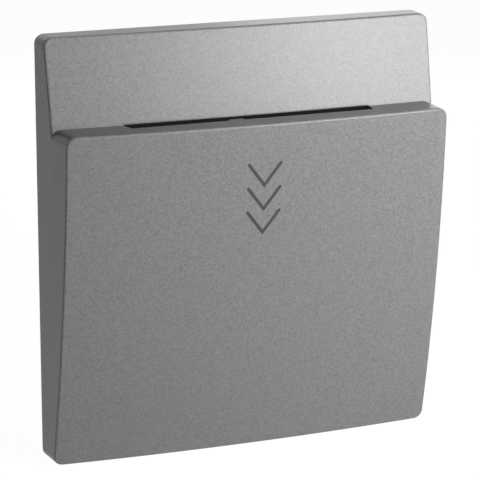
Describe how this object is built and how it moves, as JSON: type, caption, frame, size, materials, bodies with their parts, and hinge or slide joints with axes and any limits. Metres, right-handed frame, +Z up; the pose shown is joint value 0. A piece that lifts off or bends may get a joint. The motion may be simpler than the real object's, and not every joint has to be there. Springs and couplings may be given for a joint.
{
  "type": "hotel key card switch",
  "caption": "Wall-mounted hotel key card switch: a card pushed into the slot of its bulging front swings a lever that closes microswitches behind the plate.",
  "frame": {"origin": "centre of the plate on the wall plane, midway between the box screws", "axes": "+X right as seen from the room, +Y into the wall, +Z up"},
  "size_m": [0.086, 0.0428, 0.09],
  "materials": {
    "graphite_paint": "dark silver metallic paint, satin",
    "arrow_ink": "printed ink, matt",
    "black_plastic": "moulded, fine texture",
    "frame_plastic": "moulded, matt",
    "housing_plastic": "moulded, matt",
    "lever_plastic": "natural nylon, satin",
    "switch_plastic": "moulded, matt",
    "button_plastic": "moulded, satin",
    "zinc_steel": "zinc plated",
    "bright_steel": "ground",
    "spring_steel": "drawn wire",
    "spring_copper": "rolled strip, satin",
    "brass": "machined, satin"
  },
  "bodies": {
    "root": {"front_cover": "graphite_paint", "arrow_prints": "arrow_ink", "card_sleeve": "black_plastic", "sleeve_screws": "zinc_steel", "mounting_frame": "frame_plastic", "fixing_screws": "zinc_steel", "housing_screws": "zinc_steel", "rear_housing": "housing_plastic", "lever_pin": "bright_steel", "return_spring": "spring_steel", "switch_case_left": "switch_plastic", "switch_cover_left": "switch_plastic", "common_terminal_left": "brass", "load_terminal_left": "brass", "switch_case_right": "switch_plastic", "switch_cover_right": "switch_plastic", "common_terminal_right": "brass", "load_terminal_right": "brass", "wire_clamp_1": "brass", "wire_clamp_2": "brass", "wire_clamp_3": "brass", "wire_clamp_4": "brass", "clamp_screws": "zinc_steel"},
    "lever": {"actuator_lever": "lever_plastic"},
    "plunger_left": {"switch_plunger_left": "button_plastic"},
    "blade_left": {"contact_blade_left": "spring_copper"},
    "plunger_right": {"switch_plunger_right": "button_plastic"},
    "blade_right": {"contact_blade_right": "spring_copper"}
  },
  "joints": [
    {"name": "lever_swing", "type": "hinge", "parent": "root", "child": "lever", "pos_m": [0, 0.003, 0.002], "axis": [1, 0, 0], "range_deg": [0, 8], "stiffness_Nm_per_rad": 0.0726, "springref_deg": -11.46, "deforming": ["return_spring"]},
    {"name": "plunger_left_press", "type": "slide", "parent": "root", "child": "plunger_left", "axis": [0, 0, 1], "range_m": [0, 0.00104]},
    {"name": "plunger_right_press", "type": "slide", "parent": "root", "child": "plunger_right", "axis": [0, 0, 1], "range_m": [0, 0.00104]},
    {"name": "blade_left_swing", "type": "hinge", "parent": "root", "child": "blade_left", "pos_m": [-0.0205, 0.01, 0.009], "axis": [0, -1, 0], "range_deg": [0, 3.02]},
    {"name": "blade_right_swing", "type": "hinge", "parent": "root", "child": "blade_right", "pos_m": [0.0205, 0.01, 0.009], "axis": [0, 1, 0], "range_deg": [0, 3.02]}
  ],
  "couplings": [
    {"joint": "plunger_left_press", "follows": "lever_swing", "m_per_rad": 0.0074},
    {"joint": "plunger_right_press", "follows": "lever_swing", "m_per_rad": 0.0074},
    {"joint": "blade_left_swing", "follows": "lever_swing", "ratio": 0.375},
    {"joint": "blade_right_swing", "follows": "lever_swing", "ratio": 0.375}
  ]
}
